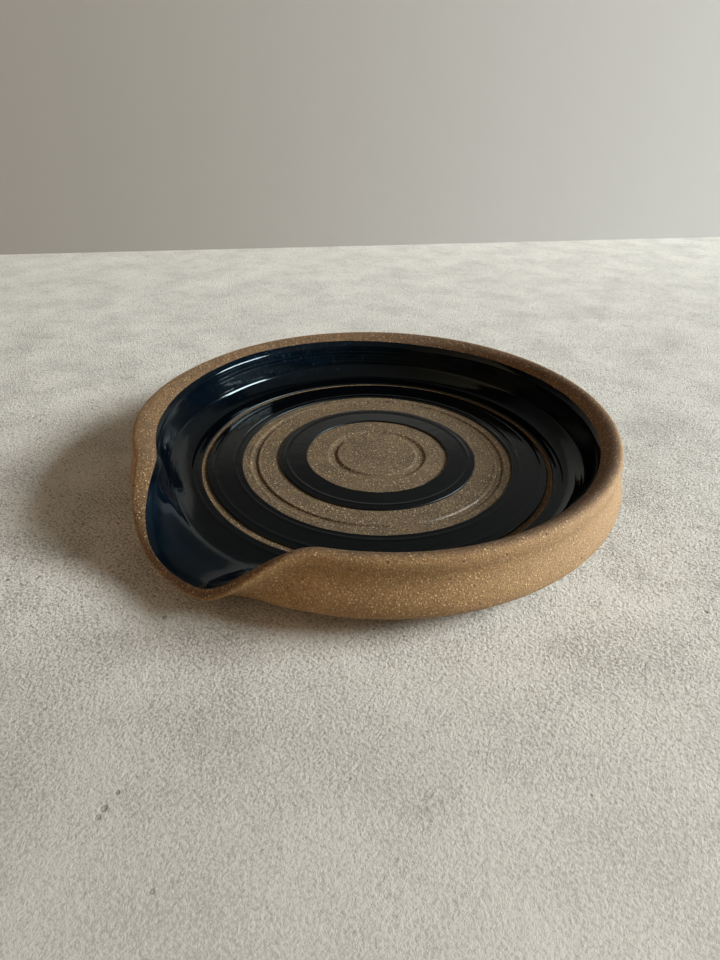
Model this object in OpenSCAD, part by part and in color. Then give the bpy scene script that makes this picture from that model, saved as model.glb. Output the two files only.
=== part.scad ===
// Hand-thrown stoneware spoon rest with a pulled spout for the handle.
// The origin is the middle of the flat foot, +Z is up and the spout points along -Y.
// Every length is in millimetres and every angle in degrees.

/* [Dish] */
// Diameter over the belly of the outer wall
dish_d = 125.6; // [118:0.2:138]
// Height from the table to the crest of the rim
dish_h = 19; // [16:0.2:23]
// How far the edge of the flat foot stands in from the belly
foot_in = 7.8; // [6.3:0.1:12]
// Thickness of the clay floor
floor_t = 5; // [4:0.1:6.5]
// Thickness of the wall just under the rim
wall_t = 4.9; // [4:0.1:6]
// Height of the belly of the outer wall above the table
belly_h = 8.1; // [6.5:0.1:9]
// How much further out the belly stands than the wall under the rim
belly_out = 1.7; // [0.4:0.1:2.5]
// How far the waist of the outer wall draws in under the rim
waist_in = 0.6; // [0:0.05:1.2]
// Lean of the inner face of the wall from upright
wall_lean = 7; // [2:0.5:10]
// How far the slope of the cove reaches up the wall and in over the floor
cove_reach = 3.6; // [2.4:0.1:4.5]
// Length of the rounding between the wall and the slope of the cove, along each
cove_top_len = 0.9; // [0.4:0.1:1.4]
// Length of the rounding between the slope of the cove and the floor, along each
cove_foot_len = 2.2; // [0.8:0.1:2.4]
// Height of the rounded rim above the line where the glaze stops
rim_h = 2.8; // [2:0.05:3.2]
// Radius of the turn-over from the inner face of the wall to the bevel of the rim
roll_r = 2; // [1:0.1:2.4]
// Depth of the rounded heel, measured down the wall from the belly
heel_h = 2.7; // [1.8:0.1:5]

/* [Spout] */
// How far the lip reaches out past the belly
lip_out = 4.2; // [3:0.1:13]
// Height of the glaze line on the lip above the table
lip_h = 6.3; // [6:0.1:9]
// Thickness of the clay at the lip
lip_t = 2.5; // [2.2:0.1:4]
// How far the bare nose of the lip runs past the glaze line
lip_nose = 0.6; // [0.5:0.05:1.6]
// Height of the underside of the spout above the table at its root
spout_clear = 1.2; // [0.6:0.1:1.8]
// Reach of the cove where the floor runs into the spout
spout_cove_reach = 0.6; // [0.3:0.1:1.5]
// Depth of the heel under the spout
spout_heel_h = 1.6; // [1:0.1:2.4]
// Angle from the middle of the spout to where the wall stands upright again, on the swollen side
spout_left_angle = 30.5; // [22:0.5:40]
// The same angle on the other side
spout_right_angle = 28; // [22:0.5:40]
// Angle over which the middle of the lip stays fully down, to each side
lip_angle = 1.3; // [0:0.1:5]
// How far the outer face stands out where the pull of the spout has swollen one shoulder
swell_out = 1.2; // [0:0.1:2.5]
// How much of that the inner face gives way too, the wall being thicker by the rest
swell_in = 0.5; // [0:0.1:1]
// Angle from the middle of the spout to the middle of that swelling
swell_angle = 49; // [40:1:60]
// Angle over which the swelling fades out, to each side
swell_spread = 40; // [25:1:50]

/* [Rings on the floor, from the wall inward] */
// Width of the level glaze between the cove and the thin bare ring
floor_glaze_w = 4.3; // [3.6:0.1:6]
// Width of the thin bare ring
thin_ring_w = 1.4; // [1:0.1:3]
// Width of the glazed floor band
band_w = 9.1; // [7:0.1:12]
// Width of the broad bare ring
broad_ring_w = 9.7; // [6:0.1:12]
// Width of the glazed ring round the bare disc
centre_ring_w = 7.5; // [5:0.1:10]

/* [Turned grooves] */
// Place of the groove in the bare disc, as a share of the disc's radius
disc_groove_share = 0.63; // [0.5:0.01:0.8]
// Width of the groove in the bare disc
disc_groove_w = 2.6; // [1.5:0.1:4]
// Depth of the groove in the bare disc
disc_groove_h = 0.45; // [0.2:0.05:0.8]
// How far the middle of the groove in the broad bare ring lies in from the ring's outer edge
broad_groove_in = 3.2; // [2:0.1:4.5]
// Width of the groove in the broad bare ring
broad_groove_w = 1.9; // [1:0.1:3]
// Depth of the groove in the broad bare ring
broad_groove_h = 0.35; // [0.15:0.05:0.7]

/* [Glaze] */
// Thickness of the fired glaze
glaze_t = 0.45; // [0.3:0.05:0.8]
// Width over which an edge of the glaze rounds down to the clay
glaze_edge_w = 0.7; // [0.5:0.05:1]
// Height of the throwing ridges that show through the glaze
ridge_h = 0.2; // [0.1:0.02:0.4]
// Width of those ridges
ridge_w = 1.3; // [0.8:0.1:2]
// How far the crown of a ridge lies in from the glaze edge that it follows
ridge_in = 1.9; // [1.4:0.1:2.6]

/* [Hidden] */

clay_colour = "#9a7a55";
glaze_colour = "#141d2b";
$fn = 96;

// Counts of the loft: steps round half the spout, round the rest of the wall, and along each stretch
spout_steps = 17;
wall_steps = 58;
heel_steps = 4;
flank_steps = 5;
rim_steps = 9;
cove_steps = 3;
ridge_steps = 3;

// The turned floor laps this far into the lofted wall, inside the thin bare ring
joint_lap = 0.7;

// How far across the rim the curve of its section is drawn before it turns up, which makes the bevel
bevel_share = 0.5;
// How far the straight pulls of the outer face run from the belly up and from the rim down
flank_share = 0.4;
// Rounding of a glaze edge: how far in from the edge, and how thick there
edge_in_shares = [0.25, 1];
edge_up_shares = [0.62, 1];
// The most of the cove's slope that each of its roundings may take
cove_round_share = 0.4;

// How far up the curve of the rim is pulled for each unit of its crest, and where across the rim the crest falls
crest_pull = 1 / sweep(0, 1, 1, 0, 1 / 2);
crest_share = sweep(0, bevel_share, 1, 1, 1 / 2);

// The standing wall: its glaze line, and the sharp corner that its cove rounds off
stand_edge = [
    dish_d / 2 - belly_out - wall_t * cos(wall_lean),
    dish_h - rim_h * cos(wall_lean) + wall_t * crest_share * sin(wall_lean)
];
corner = [
    stand_edge[0] - (stand_edge[1] - floor_t) * tan(wall_lean),
    floor_t
];
stand_len = norm(stand_edge - corner);
// The spout: the same wall laid down about the corner and drawn out
lip_edge = [dish_d / 2 + lip_out - lip_nose, lip_h];
lip_lean = atan2(lip_edge[0] - corner[0], lip_edge[1] - corner[1]);
lip_len = norm(lip_edge - corner);

// Radii of the rings on the floor, and of the joint where the turned floor laps into the lofted wall
thin_out_r = corner[0] - cove_reach - floor_glaze_w;
thin_in_r = thin_out_r - thin_ring_w;
broad_out_r = thin_in_r - band_w;
broad_in_r = broad_out_r - broad_ring_w;
disc_r = broad_in_r - centre_ring_w;
joint_r = (thin_in_r + thin_out_r - joint_lap) / 2;

// Place of the belly down the wall from the glaze line, as a share that holds for wall and spout
belly_share = (stand_edge[1] - belly_h) / (stand_edge[1] - floor_t);
stand_belly_t = (dish_d / 2 - stand_edge[0]) / cos(wall_lean)
    + (stand_edge[1] - belly_h) / cos(wall_lean) * tan(wall_lean);
lip_root_h = lip_edge[1] - (lip_edge[1] - floor_t) * belly_share;
lip_belly_t = (lip_root_h - spout_clear) / sin(lip_lean);

function mix(a, b, u) = a + (b - a) * u;
// A step from 0 to 1 that starts and ends without a kink
function ease(x) = let (u = min(max(x, 0), 1)) u * u * u * (10 - 15 * u + 6 * u * u);
// Angle from the middle of the spout, less than zero on the side that is swollen
function turned(a) = a > 180 ? a - 360 : a;
// How far the wall is laid down at an angle: 1 in the middle of the spout, 0 where it stands
function laid(a) =
    let (side_angle = turned(a) < 0 ? spout_left_angle : spout_right_angle)
    1 - ease((abs(turned(a)) - lip_angle) / (side_angle - lip_angle));
// Share of the swelling at an angle: a hump over the swollen shoulder
function swollen(a) =
    let (x = min(abs(turned(a) + swell_angle) / swell_spread, 1))
    (1 - x * x) * (1 - x * x);
// The clay thins sooner than it leans
function thinned(w) = 1 - (1 - w) * (1 - w);
// Point of a curve from a to c, drawn towards b
function curve(a, b, c, u) = mix(mix(a, b, u), mix(b, c, u), u);
// Point of a curve from a to d that leaves towards b and comes in from c
function sweep(a, b, c, d, u) = mix(curve(a, b, c, u), curve(b, c, d, u), u);

// Direction up the inner face of the wall, and outward from it
function up_dir(w) = let (lean = mix(wall_lean, lip_lean, w)) [sin(lean), cos(lean)];
function out_dir(w) = let (lean = mix(wall_lean, lip_lean, w)) [cos(lean), -sin(lean)];
function wall_len(w) = mix(stand_len, lip_len, w);
// Glaze line, moved out with the inner face
function edge(w, moved) = corner + [moved, 0] + up_dir(w) * wall_len(w);
// Thickness under the rim, height of the crest over the glaze line, and slope of the bevel from the wall
function shoulder_t(w, extra_t) = mix(wall_t, lip_t, thinned(w)) + extra_t;
function crest_h(w) = mix(rim_h, lip_nose, thinned(w));
function bevel(w, extra_t) = atan2(bevel_share * shoulder_t(w, extra_t), crest_pull * crest_h(w));
// Radius of the turn-over at the top of the inner face, which the spout hasn't
function roll(w) = roll_r * (1 - w);
// Length of an arc
function arc_len(r, angle) = r * angle * PI / 180;

// Point of the inner face this far below the glaze line, round the turn-over and then straight down:
// [place, direction out of the clay]
function below_line(w, extra_t, moved, down) =
    let (
        up = up_dir(w),
        out = out_dir(w),
        slope = bevel(w, extra_t),
        round_len = arc_len(roll(w), slope),
        t = round_len > down ? slope * (1 - down / round_len) : 0,
        past = max(down - round_len, 0)
    )
    [
        edge(w, moved) - up * (roll(w) * (sin(slope) - sin(t)) + past)
            - out * roll(w) * (cos(t) - cos(slope)),
        up * sin(t) - out * cos(t)
    ];

// Direction out of the clay beside a face that runs down and inward along this direction
function beside(d) = [d[1], -d[0]] / norm(d);
// Rounded bend from a to c past b: [place, direction out of the clay]
function bend(a, b, c) =
    [for (i = [0:cove_steps]) let (u = i / cove_steps) [curve(a, b, c, u), beside(mix(b - a, c - b, u))]];

// Inner face from the glaze line down to the thin bare ring: [place, direction out of the clay]
function inner_face(w, extra_t, moved) =
    let (
        up = up_dir(w),
        slope = bevel(w, extra_t),
        thinner = roll(w) * (1 - cos(slope)) / out_dir(w)[0],
        foot = corner + [moved - thinner, 0],
        reach = mix(cove_reach, spout_cove_reach, w),
        cove_top = foot + up * reach,
        cove_foot = foot - [reach, 0],
        cove_len = norm(cove_top - cove_foot),
        down_cove = (cove_foot - cove_top) / cove_len,
        top_len = min(cove_top_len, cove_len * cove_round_share),
        foot_len = min(cove_foot_len, cove_len * cove_round_share),
        round_end = max(arc_len(roll(w), slope), glaze_edge_w) + glaze_edge_w / 2,
        upper = below_line(w, extra_t, moved, round_end)
    )
    concat(
        [for (down = concat([0], edge_in_shares * glaze_edge_w)) below_line(w, extra_t, moved, down)],
        [upper],
        [[(upper[0] + cove_top + up * top_len) / 2, upper[1]]],
        bend(cove_top + up * top_len, cove_top, cove_top + down_cove * top_len),
        bend(cove_foot - down_cove * foot_len, cove_foot, cove_foot - [foot_len, 0]),
        [for (i = [1, 0]) [[thin_out_r + glaze_edge_w * edge_in_shares[i], floor_t], [0, 1]]],
        [[[thin_out_r, floor_t], [0, 1]]]
    );

// Outer face and rim, from the foot's edge up over the crest to just short of the glaze line
function outer_face(w, extra_t, moved) =
    let (
        v = thinned(w),
        up = up_dir(w),
        out = out_dir(w),
        top = edge(w, moved),
        down = wall_len(w) * belly_share,
        belly = top - up * down + out * (mix(stand_belly_t, lip_belly_t, v) + extra_t),
        across = out * shoulder_t(w, extra_t),
        shoulder = top + across,
        pull = up * down * flank_share,
        waist = shoulder - pull - out * (waist_in - extra_t),
        heel = belly - up * mix(heel_h, spout_heel_h, v),
        foot_edge = [dish_d / 2 - foot_in, 0],
        rise = up * crest_h(w) * crest_pull
    )
    concat(
        [for (i = [0:heel_steps]) curve(foot_edge, heel, belly, i / heel_steps)],
        [for (i = [1:flank_steps - 1]) sweep(belly, belly + pull, waist, shoulder, i / flank_steps)],
        [for (i = [0:rim_steps - 1])
            sweep(shoulder, shoulder + rise, top + across * bevel_share + rise, top, i / rim_steps)]
    );

// Section of the clay at an angle from the spout, as a closed outline
function clay_section(a) =
    let (
        w = laid(a),
        moved = swell_in * swollen(a),
        extra_t = swell_out * swollen(a) - moved
    )
    concat(
        [[joint_r, 0]],
        outer_face(w, extra_t, moved),
        [for (p = inner_face(w, extra_t, moved)) p[0]],
        [[joint_r, floor_t]]
    );

// Section of the glaze: its seat on the clay, then its own face on the way back
function glaze_section(a) =
    let (
        moved = swell_in * swollen(a),
        face = inner_face(laid(a), swell_out * swollen(a) - moved, moved),
        last = len(face) - 1,
        full = [for (i = [3:last - 3]) 1],
        rise = concat([0], edge_up_shares, full, [edge_up_shares[1], edge_up_shares[0], 0])
    )
    concat(
        [for (p = face) p[0]],
        [for (i = [last - 1:-1:1]) face[i][0] + face[i][1] * glaze_t * rise[i]]
    );

// Angles of the sections, closer together round the spout
stations = concat(
    [for (i = [0:spout_steps]) spout_right_angle * i / spout_steps],
    [for (i = [1:wall_steps - 1]) mix(spout_right_angle, 360 - spout_left_angle, i / wall_steps)],
    [for (i = [spout_steps:-1:1]) 360 - spout_left_angle * i / spout_steps]
);

// A closed ring lofted through one section per station
module loft(sections, inward) {
    rows = len(sections);
    cols = len(sections[0]);
    points = [for (i = [0:rows - 1], p = sections[i])
        [p[0] * sin(stations[i]), -p[0] * cos(stations[i]), p[1]]];
    faces = [for (i = [0:rows - 1], j = [0:cols - 1], half = [0, 1])
        let (
            k = (i + 1) % rows,
            n = (j + 1) % cols,
            a = i * cols + j,
            b = i * cols + n,
            c = k * cols + n,
            d = k * cols + j,
            tri = half == 0 ? [a, b, c] : [a, c, d]
        )
        inward ? [tri[2], tri[1], tri[0]] : tri];
    polyhedron(points = points, faces = faces);
}

// A shallow round-bottomed groove turned into the floor
module groove(mid_r, width, depth) {
    r = (width * width / 4 + depth * depth) / (2 * depth);
    rotate_extrude()
        translate([mid_r, floor_t + r - depth])
            circle(r);
}

// A low ridge that stands on the floor's glaze, its back a shallow arc
module ridge(mid_r) {
    face_z = floor_t + glaze_t;
    rise = [for (i = [-ridge_steps:ridge_steps]) i / ridge_steps];
    rotate_extrude()
        polygon(concat(
            [[mid_r + ridge_w / 2, face_z - ridge_h], [mid_r - ridge_w / 2, face_z - ridge_h]],
            [for (u = rise) [mid_r + ridge_w / 2 * u, face_z + ridge_h * (1 - u * u)]]
        ));
}

// A flat glazed ring with its edges rounded down to the clay
module coat(in_r, out_r) {
    edge_in = glaze_edge_w * edge_in_shares;
    edge_z = [for (share = edge_up_shares) floor_t + glaze_t * share];
    rotate_extrude()
        polygon(concat(
            [[in_r, floor_t]],
            [for (i = [0, 1]) [in_r + edge_in[i], edge_z[i]]],
            [for (i = [1, 0]) [out_r - edge_in[i], edge_z[i]]],
            [[out_r, floor_t]]
        ));
}

module stoneware_body() {
    color(clay_colour)
        difference() {
            union() {
                cylinder(h = floor_t, r = joint_r + joint_lap);
                loft([for (a = stations) clay_section(a)], false);
            }
            groove(disc_r * disc_groove_share, disc_groove_w, disc_groove_h);
            groove(broad_out_r - broad_groove_in, broad_groove_w, broad_groove_h);
        }
}

module glaze_wall_and_spout() {
    color(glaze_colour)
        loft([for (a = stations) glaze_section(a)], true);
}

module glaze_floor_band() {
    color(glaze_colour)
        union() {
            coat(broad_out_r, thin_in_r);
            ridge(broad_out_r + ridge_in);
            ridge(thin_in_r - ridge_in);
        }
}

module glaze_centre_ring() {
    color(glaze_colour)
        union() {
            coat(disc_r, broad_in_r);
            ridge(broad_in_r - ridge_in);
        }
}

stoneware_body();
glaze_wall_and_spout();
glaze_floor_band();
glaze_centre_ring();
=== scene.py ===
"""Looks of a hand-thrown stoneware spoon rest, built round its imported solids.

The frame is the part's own: metres, the middle of the foot at the origin, +Z up, the spout along -Y. Sizes of
the pot are kept in millimetres, as a potter would write them, and turned to metres when a mesh is made. Its
angles are in degrees, from the middle of the spout.
"""

import logging
import math
from collections.abc import Sequence
from dataclasses import dataclass
from enum import Enum

import bpy
import numpy as np
from bpy.types import ID, Material, Node, NodeSocket as Socket, NodeTree, Object, World
from mathutils import Matrix, Vector

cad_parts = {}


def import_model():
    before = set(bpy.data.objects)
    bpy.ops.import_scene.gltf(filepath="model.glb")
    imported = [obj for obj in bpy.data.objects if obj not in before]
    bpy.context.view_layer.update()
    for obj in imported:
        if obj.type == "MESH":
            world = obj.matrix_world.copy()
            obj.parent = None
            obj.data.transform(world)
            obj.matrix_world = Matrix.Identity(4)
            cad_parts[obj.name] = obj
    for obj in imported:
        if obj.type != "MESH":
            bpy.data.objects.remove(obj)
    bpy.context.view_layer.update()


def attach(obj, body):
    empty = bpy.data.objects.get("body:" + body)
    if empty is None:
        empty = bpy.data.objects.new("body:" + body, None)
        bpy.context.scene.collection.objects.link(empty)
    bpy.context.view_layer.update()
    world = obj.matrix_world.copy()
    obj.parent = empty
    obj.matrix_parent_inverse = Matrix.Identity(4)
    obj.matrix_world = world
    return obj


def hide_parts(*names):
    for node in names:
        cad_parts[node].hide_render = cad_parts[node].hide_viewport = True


MM = 0.001
RIDGE_IN = 1.9
BODY = "root"
GLAZE_MASKS = ("thin", "edge", "border", "shade")
LOG = logging.getLogger("spoon_rest")

Array = np.ndarray
Pair = tuple[Array, Array]
Masks = dict[str, Array]
Triple = tuple[float, float, float]
Colour = tuple[float, float, float, float]
Value = Socket | float | Colour
Span = tuple[float, float]

BLACK: Colour = (0.0, 0.0, 0.0, 1.0)
UPWARD: Triple = (0.0, 0.0, 1.0)


class Slot(Enum):
    """Material slots of the record that a piece can take its finish from."""

    BARE_CLAY = "bare_clay"
    DARK_GLAZE = "dark_glaze"


class Profile(Enum):
    """What a profile is that is carried round the wheel, and so how its grid is closed into faces."""

    OPEN = "from pole to pole, starting under the piece and climbing outside"
    LOOP = "a closed loop that runs down and inward on the clay and comes back on the glaze"


def mix(low: Array, high: Array, share: Array) -> Array:
    """Straight blend from low at share 0 to high at share 1."""
    return low + (high - low) * share


def step(value: Array, span: Span) -> Array:
    """Straight step, 0 up to the first value of a span and 1 from the second."""
    return np.clip((value - span[0]) / (span[1] - span[0]), 0.0, 1.0)


def smooth(value: Array) -> Array:
    """Fifth-degree step u^3 (10 - 15 u + 6 u^2), with value clipped to 0..1."""
    u = np.clip(value, 0.0, 1.0)
    return u * u * u * (10.0 - 15.0 * u + 6.0 * u * u)


def shares(steps: int, first: int = 1) -> Array:
    """Shares from 0 to 1 in even steps, from the first-th on, shaped to blend rows of places."""
    return np.linspace(0.0, 1.0, steps + 1)[None, first:, None]


def whole_turn(steps: int) -> Array:
    """Angles of one turn in even steps."""
    return np.arange(steps) * 360.0 / steps


def off_middle(angles: Array) -> Array:
    """Angles brought to -180..180, so that zero is the middle of the spout."""
    return (angles + 180.0) % 360.0 - 180.0


@dataclass(frozen=True)
class Hump:
    """Low bell height (1 - x^2)^2, with x the distance from its middle over its reach, clipped to -1..1."""

    middle: float
    reach: float
    height: float = 1.0

    def at(self, value: Array) -> Array:
        """The bell at each value."""
        x = np.clip((value - self.middle) / self.reach, -1.0, 1.0)
        return self.height * (1.0 - x * x) ** 2


@dataclass(frozen=True)
class Wobble:
    """Unevenness of a hand: height in millimetres, waves of each term in a turn, and seed of the phases."""

    height: float
    waves: tuple[int, ...]
    seed: int

    def at(self, angles: Array) -> Array:
        """Sum of cosines cos(k a + phase) / sqrt(k), scaled to the height.

        Args:
            angles: Angles in degrees.

        Returns:
            The departure at each angle, in millimetres.
        """
        phases = np.random.default_rng(self.seed).uniform(0.0, 2.0 * np.pi, len(self.waves))
        turns = np.array(self.waves, float)
        terms = np.cos(np.radians(angles)[..., None] * turns + phases) / np.sqrt(turns)
        return self.height * terms.sum(-1) / (1.0 / np.sqrt(turns)).sum()


@dataclass(frozen=True)
class TurningLines:
    """Faint lines left by the wheel: height in millimetres, radians per millimetre across them, and phase."""

    height: float
    rate: float
    phase: float = 0.0

    def at(self, run: Array, sway: Array | float = 0.0) -> Array:
        """Height cos(rate run + phase + sway)."""
        return self.height * np.cos(self.rate * run + self.phase + sway)


@dataclass(frozen=True)
class WallFrame:
    """The wall at a row of angles: its share of lying down, its directions and its main sizes."""

    laid: Array
    thinned: Array
    lean: Array
    up: Array
    out: Array
    edge: Array
    length: Array
    shoulder: Array
    crest: Array
    bevel: Array
    roll: Array


@dataclass(frozen=True)
class DishForm:
    """The pot's form, as its solids have it, with every length in millimetres and every angle in degrees."""

    dish_d: float = 125.6
    dish_h: float = 19.0
    foot_in: float = 7.8
    floor_t: float = 5.0
    wall_t: float = 4.9
    belly_h: float = 8.1
    belly_out: float = 1.7
    waist_in: float = 0.6
    wall_lean: float = 7.0
    cove_reach: float = 3.6
    cove_top_len: float = 0.9
    cove_foot_len: float = 2.2
    cove_round_share: float = 0.4
    rim_h: float = 2.8
    heel_h: float = 2.7
    roll_r: float = 2.0
    bevel_share: float = 0.5
    lip_out: float = 4.2
    lip_h: float = 6.3
    lip_t: float = 2.5
    lip_nose: float = 0.6
    spout_clear: float = 1.2
    spout_cove_reach: float = 0.6
    spout_heel_h: float = 1.6
    spout_left_angle: float = 30.5
    spout_right_angle: float = 28.0
    lip_angle: float = 1.3
    swell_out: float = 1.2
    swell_in: float = 0.5
    swell_angle: float = 49.0
    swell_spread: float = 40.0
    flank_share: float = 0.4
    crest_pull: float = 4.0 / 3.0
    floor_glaze_w: float = 4.3
    thin_ring_w: float = 1.4
    band_w: float = 9.1
    broad_ring_w: float = 9.7
    centre_ring_w: float = 7.5
    disc_groove_share: float = 0.63
    disc_groove_w: float = 2.6
    disc_groove_h: float = 0.45
    broad_groove_in: float = 3.2
    broad_groove_w: float = 1.9
    broad_groove_h: float = 0.35

    @property
    def foot_r(self) -> float:
        """Radius of the flat foot."""
        return self.dish_d / 2 - self.foot_in

    @property
    def lip_edge(self) -> Array:
        """Glaze line in the middle of the lip, as radius and height."""
        return np.array([self.dish_d / 2 + self.lip_out - self.lip_nose, self.lip_h])

    @property
    def thin_ring(self) -> Span:
        """Radii of the thin bare ring, measured in from the cove of the standing wall."""
        outer = float(self.corner[0]) - self.cove_reach - self.floor_glaze_w
        return outer - self.thin_ring_w, outer

    @property
    def broad_ring(self) -> Span:
        """Radii of the broad bare ring."""
        outer = self.thin_ring[0] - self.band_w
        return outer - self.broad_ring_w, outer

    @property
    def disc_r(self) -> float:
        """Radius of the bare disc."""
        return self.broad_ring[0] - self.centre_ring_w

    @property
    def disc_groove(self) -> Triple:
        """Radius, width and depth of the groove in the bare disc."""
        return self.disc_r * self.disc_groove_share, self.disc_groove_w, self.disc_groove_h

    @property
    def broad_groove(self) -> Triple:
        """Radius, width and depth of the groove in the broad bare ring."""
        return self.broad_ring[1] - self.broad_groove_in, self.broad_groove_w, self.broad_groove_h

    @property
    def crest_share(self) -> float:
        """Place of the crest across the rim, at the middle of its drawn curve."""
        return 0.5 + 0.375 * self.bevel_share

    @property
    def stand_edge(self) -> Array:
        """Glaze line of the standing wall, as radius and height."""
        lean = math.radians(self.wall_lean)
        radius = self.dish_d / 2 - self.belly_out - self.wall_t * math.cos(lean)
        height = self.dish_h - self.rim_h * math.cos(lean) + self.wall_t * self.crest_share * math.sin(lean)
        return np.array([radius, height])

    @property
    def corner(self) -> Array:
        """Sharp corner between floor and wall that the cove rounds off."""
        radius, height = self.stand_edge
        inward = (height - self.floor_t) * math.tan(math.radians(self.wall_lean))
        return np.array([radius - inward, self.floor_t])

    def laid(self, angles: Array) -> Array:
        """Share 1 - smooth((|a| - lip angle) / (spout angle - lip angle)): 1 in the spout, 0 by the wall."""
        off = off_middle(angles)
        side = np.where(off < 0.0, self.spout_left_angle, self.spout_right_angle)
        return 1.0 - smooth((np.abs(off) - self.lip_angle) / (side - self.lip_angle))

    def moved(self, angles: Array) -> Array:
        """How far the whole wall gives way on the swollen shoulder: a hump about its own angle."""
        return Hump(-self.swell_angle, self.swell_spread, self.swell_in).at(off_middle(angles))

    def swell(self, angles: Array) -> Array:
        """Extra thickness there, the rest of what the outer face stands out."""
        return self.moved(angles) * (self.swell_out / self.swell_in - 1.0)

    def frame(self, angles: Array) -> WallFrame:
        """Wall at each angle: the standing section turned down about the floor's corner and drawn out.

        Its lean and length go straight to the lip's with the share. It thins with 1 - (1 - share)^2.

        Args:
            angles: Angles in degrees.

        Returns:
            The wall's directions and sizes, one row per angle.
        """
        share = self.laid(angles)
        thinned = 1.0 - (1.0 - share) ** 2
        reach = self.lip_edge - self.corner
        lean = np.radians(mix(self.wall_lean, math.degrees(math.atan2(reach[0], reach[1])), share))
        up = np.stack([np.sin(lean), np.cos(lean)], -1)
        out = np.stack([np.cos(lean), -np.sin(lean)], -1)
        length = mix(float(np.hypot(*(self.stand_edge - self.corner))), float(np.hypot(*reach)), share)
        shoulder = mix(self.wall_t, self.lip_t, thinned) + self.swell(angles)
        crest = mix(self.rim_h, self.lip_nose, thinned)
        bevel = np.arctan2(self.bevel_share * shoulder, self.crest_pull * crest)
        edge = self.corner + up * length[:, None]
        edge[:, 0] += self.moved(angles)
        roll = self.roll_r * (1.0 - share)
        return WallFrame(share, thinned, lean, up, out, edge, length, shoulder, crest, bevel, roll)

    def outer(self, angles: Array, heel_steps: int, flank_steps: int) -> Array:
        """Outer face from the foot's edge to the shoulder.

        The heel is drawn towards a point under the belly. The flank leaves the belly upright and comes into
        the shoulder past a drawn-in waist.

        Args:
            angles: Angles in degrees.
            heel_steps: Steps along the heel.
            flank_steps: Steps along the flank.

        Returns:
            Radius and height of each point, shape (angles, points, 2).
        """
        wall = self.frame(angles)
        edge = self.stand_edge
        lean = math.radians(self.wall_lean)
        drop = edge[1] - self.belly_h
        belly_share = drop / (edge[1] - self.floor_t)
        stand_t = (self.dish_d / 2 - edge[0] + drop * math.tan(lean)) / math.cos(lean)
        reach = self.lip_edge - self.corner
        lip_root_h = self.lip_h - (self.lip_h - self.floor_t) * belly_share
        lip_t = (lip_root_h - self.spout_clear) / math.sin(math.atan2(reach[0], reach[1]))
        down = (wall.length * belly_share)[:, None]
        belly_t = (mix(stand_t, lip_t, wall.thinned) + self.swell(angles))[:, None]
        belly = wall.edge - wall.up * down + wall.out * belly_t
        shoulder = wall.edge + wall.out * wall.shoulder[:, None]
        pull = wall.up * down * self.flank_share
        heel = belly - wall.up * mix(self.heel_h, self.spout_heel_h, wall.thinned)[:, None]
        foot = np.broadcast_to(np.array([self.foot_r, 0.0]), belly.shape)
        lower = drawn_curve(shares(heel_steps, 0), foot[:, None], heel[:, None], belly[:, None])
        waist = shoulder - pull - wall.out * (self.waist_in - self.swell(angles))[:, None]
        stops = (belly, belly + pull, waist, shoulder)
        upper = drawn_curve(shares(flank_steps), *(stop[:, None] for stop in stops))
        return np.concatenate([lower, upper], 1)

    def rim(self, angles: Array, steps: int) -> Array:
        """Rim from the outer shoulder over the crest to the glaze line.

        It is drawn in shares of thickness and crest, from a bevel at the line to an upright shoulder.

        Args:
            angles: Angles in degrees.
            steps: Steps over the rim.

        Returns:
            Radius and height of each point, without the shoulder itself, shape (angles, steps, 2).
        """
        wall = self.frame(angles)
        pull = self.crest_pull
        stops = np.array([(0.0, 0.0), (self.bevel_share, pull), (1.0, pull), (1.0, 0.0)])
        curve = drawn_curve(1.0 - shares(steps)[0], *stops)
        across = wall.out[:, None] * (wall.shoulder[:, None] * curve[:, 0])[..., None]
        rise = wall.up[:, None] * (wall.crest[:, None] * curve[:, 1])[..., None]
        return wall.edge[:, None] + across + rise

    def inner(self, angles: Array, end_r: float, steps: tuple[int, int, int, int]) -> Array:
        """Inner face from the glaze line down the wall, down the cove's slope and over the floor to a radius.

        Args:
            angles: Angles in degrees.
            end_r: Radius on the floor where the face ends.
            steps: Steps round the turn-over under the glaze line, an arc that ends upright, down the wall,
                along each bend of the cove and its slope, and over the floor.

        Returns:
            Radius and height of each point, shape (angles, points, 2).
        """
        roll_steps, wall_steps, cove_steps, flat_steps = steps
        wall = self.frame(angles)
        up, out = wall.up[:, None], wall.out[:, None]
        roll, bevel = wall.roll[:, None, None], wall.bevel[:, None, None]
        turn = bevel * (1.0 - shares(roll_steps, 0))
        under = up * roll * (np.sin(bevel) - np.sin(turn)) + out * roll * (np.cos(turn) - np.cos(bevel))
        top = wall.edge[:, None] - under
        corner_r = self.corner[0] + self.moved(angles)
        corner_r = corner_r - wall.roll * (1.0 - np.cos(wall.bevel)) / np.cos(wall.lean)
        corner = np.stack([corner_r, np.full_like(corner_r, self.floor_t)], -1)
        reach = mix(self.cove_reach, self.spout_cove_reach, wall.laid)[:, None]
        inward = np.array([-1.0, 0.0])
        cove_top, cove_foot = corner + wall.up * reach, corner + inward * reach
        slope = cove_foot - cove_top
        length = np.linalg.norm(slope, axis=-1, keepdims=True)
        slope = slope / length
        top_len = np.minimum(self.cove_top_len, length * self.cove_round_share)
        foot_len = np.minimum(self.cove_foot_len, length * self.cove_round_share)
        stops = (
            cove_top + wall.up * top_len, cove_top, cove_top + slope * top_len,
            cove_foot - slope * foot_len, cove_foot, cove_foot + inward * foot_len,
        )
        wall_foot, cove_top, slope_top, slope_foot, cove_foot, flat_top = (stop[:, None] for stop in stops)
        ring = np.broadcast_to(np.array([end_r, self.floor_t]), flat_top.shape)
        u = shares(cove_steps)
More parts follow.
